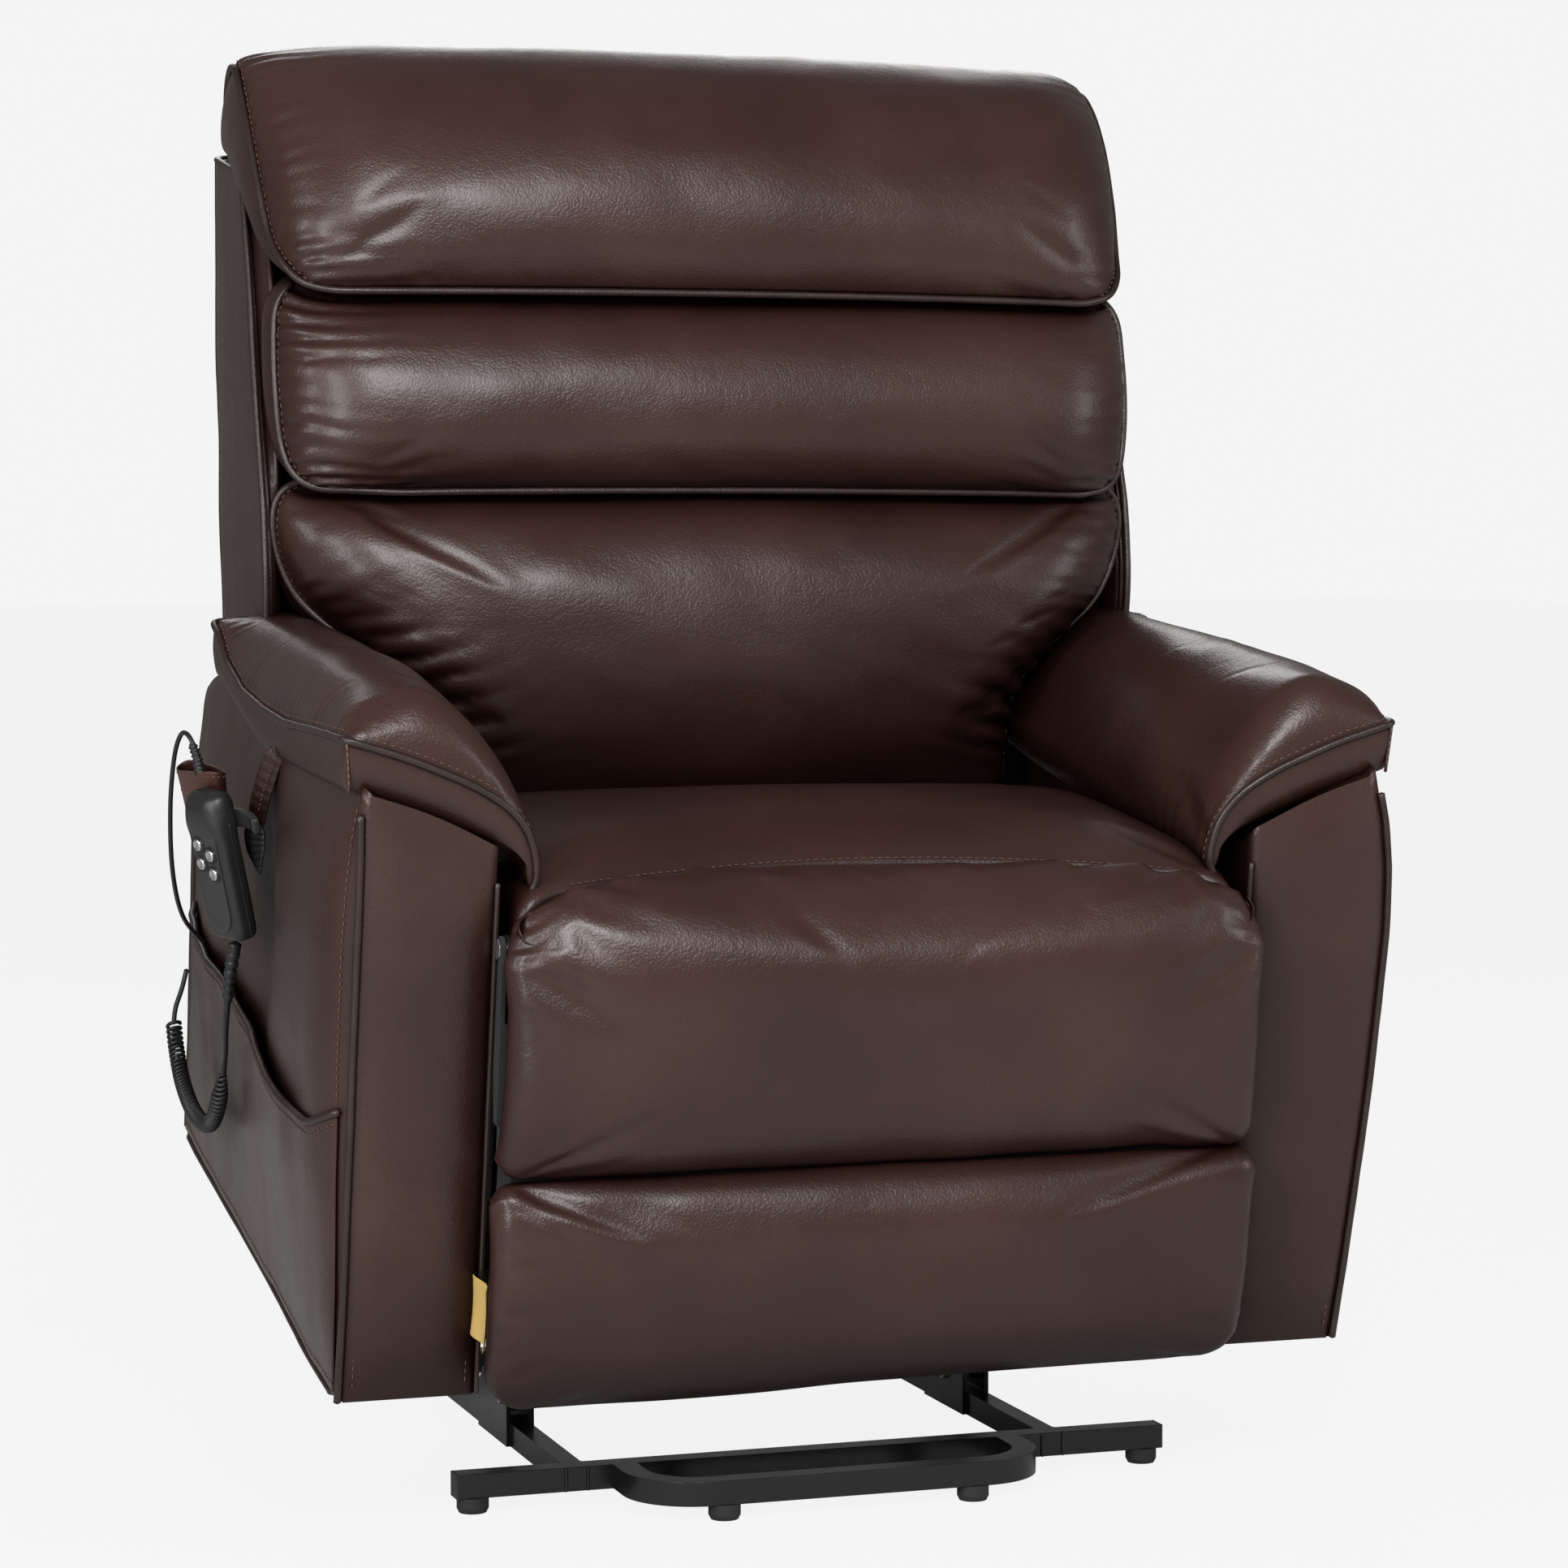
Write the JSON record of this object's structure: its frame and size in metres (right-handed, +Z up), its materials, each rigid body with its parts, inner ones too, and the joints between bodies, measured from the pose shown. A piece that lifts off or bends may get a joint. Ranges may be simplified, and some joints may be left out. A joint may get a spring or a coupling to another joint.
{
  "type": "lift recliner chair",
  "caption": "Power lift recliner in dark brown leather with three back pillows, a two-stage footrest, a corded handset and a black steel lift base with an anti-tip loop.",
  "frame": {"origin": "floor plane, at the centre of the lift base's four corner feet", "axes": "+Z up, -Y the way the chair faces, +X the sitter's left"},
  "size_m": [1.0346, 0.8647, 1.3507],
  "materials": {
    "leather": "brown bonded leather, fine pebble grain, semi-gloss",
    "cushioning": null,
    "black_steel": "gloss black powder coat",
    "mechanism_steel": "satin black paint",
    "bolt_steel": "zinc plated",
    "rod_steel": "polished rod",
    "actuator_plastic": "glass-filled nylon",
    "hardwood": "planed, unfinished",
    "black_rubber": "matte",
    "black_plastic": "fine spark texture",
    "keypad": "soft-touch membrane",
    "key_silver": "metallised domes",
    "tag_fabric": "woven tape, blank"
  },
  "bodies": {
    "base": {"base_frame": "black_steel", "anti_tip_loop": "black_steel", "base_end_caps": "black_plastic", "rubber_feet": "black_rubber", "lift_base_pins": "bolt_steel"},
    "lift_link": {"lift_links": "black_steel", "lift_cross_tube": "black_steel"},
    "guide_link": {"lift_guide_links": "black_steel"},
    "chassis": {"chassis_side_plates": "mechanism_steel", "chassis_cross_tubes": "mechanism_steel", "chassis_pivot_pins": "bolt_steel", "power_supply": "actuator_plastic", "rear_apron": "leather", "arm_frame_left": "hardwood", "arm_frame_right": "hardwood", "arm_cover_left": "cushioning", "arm_cover_right": "cushioning", "arm_pad_left": "cushioning", "arm_pad_right": "cushioning", "arm_glides": "black_plastic", "side_pocket": "leather", "handset_pouch": "leather", "handset_strap": "leather", "handset_clip": "black_plastic", "handset_case": "black_plastic", "handset_keypad": "keypad", "handset_cable": "black_rubber", "coil_cord": "black_rubber", "charging_lead": "black_rubber", "fabric_tag": "tag_fabric"},
    "lift_motor": {"lift_actuator_motor": "actuator_plastic"},
    "lift_rod": {"lift_actuator_rod": "rod_steel"},
    "seat_link_front": {"seat_links_front": "mechanism_steel"},
    "seat_link_rear": {"seat_links_rear": "mechanism_steel"},
    "seat": {"seat_side_plates": "mechanism_steel", "seat_cross_tubes": "mechanism_steel", "seat_deck_rails": "hardwood", "seat_springs": "bolt_steel", "seat_pivot_pins": "bolt_steel", "seat_cushion": "cushioning"},
    "recline_motor": {"recline_actuator_motor": "actuator_plastic"},
    "recline_rod": {"recline_actuator_rod": "rod_steel"},
    "back": {"back_brackets": "mechanism_steel", "back_frame": "hardwood", "back_cover": "cushioning", "lower_pillow": "cushioning", "middle_pillow": "cushioning", "head_pillow": "cushioning"},
    "flap": {"flap_board": "hardwood", "flap_pad": "cushioning", "crease_hinge_pins": "bolt_steel"},
    "footrest": {"footrest_board": "hardwood", "footrest_pad": "cushioning"},
    "footrest_link_low": {"footrest_links_lower": "mechanism_steel"},
    "footrest_link_high": {"footrest_links_upper": "mechanism_steel"},
    "key_head_up": {"button_head_up": "key_silver"},
    "key_head_down": {"button_head_down": "key_silver"},
    "key_feet_up": {"button_feet_up": "key_silver"},
    "key_feet_down": {"button_feet_down": "key_silver"}
  },
  "joints": [
    {"name": "lift", "type": "hinge", "parent": "base", "child": "lift_link", "pos_m": [0, -0.04, 0.05], "axis": [1, 0, 0], "range_deg": [-33.61, 51.46]},
    {"name": "chassis_tilt", "type": "hinge", "parent": "lift_link", "child": "chassis", "pos_m": [0, 0.27254, 0.29963], "axis": [1, 0, 0], "range_deg": [-34.85, 22.77]},
    {"name": "guide_swing", "type": "hinge", "parent": "base", "child": "guide_link", "pos_m": [0, -0.07602, 0.06074], "axis": [1, 0, 0], "range_deg": [-34.41, 52.67]},
    {"name": "lift_motor_swing", "type": "hinge", "parent": "chassis", "child": "lift_motor", "pos_m": [0, -0.17239, 0.36406], "axis": [1, 0, 0], "range_deg": [-2, 2]},
    {"name": "lift_stroke", "type": "slide", "parent": "lift_motor", "child": "lift_rod", "axis": [0, 0.9107, -0.413], "range_m": [-0.04947, 0.07548]},
    {"name": "recline", "type": "hinge", "parent": "seat", "child": "back", "pos_m": [0, 0.10076, 0.55904], "axis": [-1, 0, 0], "range_deg": [0, 38]},
    {"name": "seat_link_rear_swing", "type": "hinge", "parent": "chassis", "child": "seat_link_rear", "pos_m": [0, 0.05612, 0.36719], "axis": [1, 0, 0], "range_deg": [0, 26.1]},
    {"name": "seat_glide", "type": "hinge", "parent": "seat_link_rear", "child": "seat", "pos_m": [0, 0.05985, 0.46712], "axis": [-1, 0, 0], "range_deg": [0, 26.1]},
    {"name": "seat_link_front_swing", "type": "hinge", "parent": "chassis", "child": "seat_link_front", "pos_m": [0, -0.29742, 0.29933], "axis": [1, 0, 0], "range_deg": [0, 26.1]},
    {"name": "recline_motor_swing", "type": "hinge", "parent": "seat", "child": "recline_motor", "pos_m": [0, -0.24979, 0.42252], "axis": [-1, 0, 0], "range_deg": [-0.5354, 0.1]},
    {"name": "recline_stroke", "type": "slide", "parent": "recline_motor", "child": "recline_rod", "axis": [0, 0.9912, 0.1322], "range_m": [-0.06006, 0.0005]},
    {"name": "footrest_lift", "type": "hinge", "parent": "seat", "child": "flap", "pos_m": [0, -0.46769, 0.52325], "axis": [-1, 0, 0], "range_deg": [0, 74]},
    {"name": "footrest_fold", "type": "hinge", "parent": "flap", "child": "footrest", "pos_m": [0, -0.43542, 0.33394], "axis": [-1, 0, 0], "range_deg": [0, 16.4]},
    {"name": "footrest_link_low_swing", "type": "hinge", "parent": "seat", "child": "footrest_link_low", "pos_m": [0, -0.31376, 0.4693], "axis": [-1, 0, 0], "range_deg": [0, 76.84]},
    {"name": "footrest_link_high_swing", "type": "hinge", "parent": "footrest_link_low", "child": "footrest_link_high", "pos_m": [0, -0.26157, 0.25352], "axis": [1, 0, 0], "range_deg": [0, 76.17]},
    {"name": "press_head_up", "type": "slide", "parent": "chassis", "child": "key_head_up", "axis": [0.8933, 0.3568, 0.2735], "range_m": [0, 0.0012], "stiffness_N_per_m": 400},
    {"name": "press_head_down", "type": "slide", "parent": "chassis", "child": "key_head_down", "axis": [0.8933, 0.3568, 0.2735], "range_m": [0, 0.0012], "stiffness_N_per_m": 400},
    {"name": "press_feet_up", "type": "slide", "parent": "chassis", "child": "key_feet_up", "axis": [0.8933, 0.3568, 0.2735], "range_m": [0, 0.0012], "stiffness_N_per_m": 400},
    {"name": "press_feet_down", "type": "slide", "parent": "chassis", "child": "key_feet_down", "axis": [0.8933, 0.3568, 0.2735], "range_m": [0, 0.0012], "stiffness_N_per_m": 400}
  ],
  "couplings": [
    {"joint": "chassis_tilt", "follows": "lift", "ratio": -0.67678},
    {"joint": "guide_swing", "follows": "lift", "ratio": 1.0232},
    {"joint": "lift_motor_swing", "follows": "lift", "ratio": 0.008},
    {"joint": "lift_stroke", "follows": "lift", "m_per_rad": 0.08348},
    {"joint": "seat_link_rear_swing", "follows": "recline", "ratio": 0.68421},
    {"joint": "seat_glide", "follows": "recline", "ratio": 0.68421},
    {"joint": "seat_link_front_swing", "follows": "recline", "ratio": 0.68421},
    {"joint": "recline_motor_swing", "follows": "recline", "ratio": -0.011459},
    {"joint": "recline_stroke", "follows": "recline", "m_per_rad": -0.089801},
    {"joint": "footrest_fold", "follows": "footrest_lift", "ratio": 0.22},
    {"joint": "footrest_link_low_swing", "follows": "footrest_lift", "ratio": 1.037},
    {"joint": "footrest_link_high_swing", "follows": "footrest_lift", "ratio": 1.028}
  ]
}
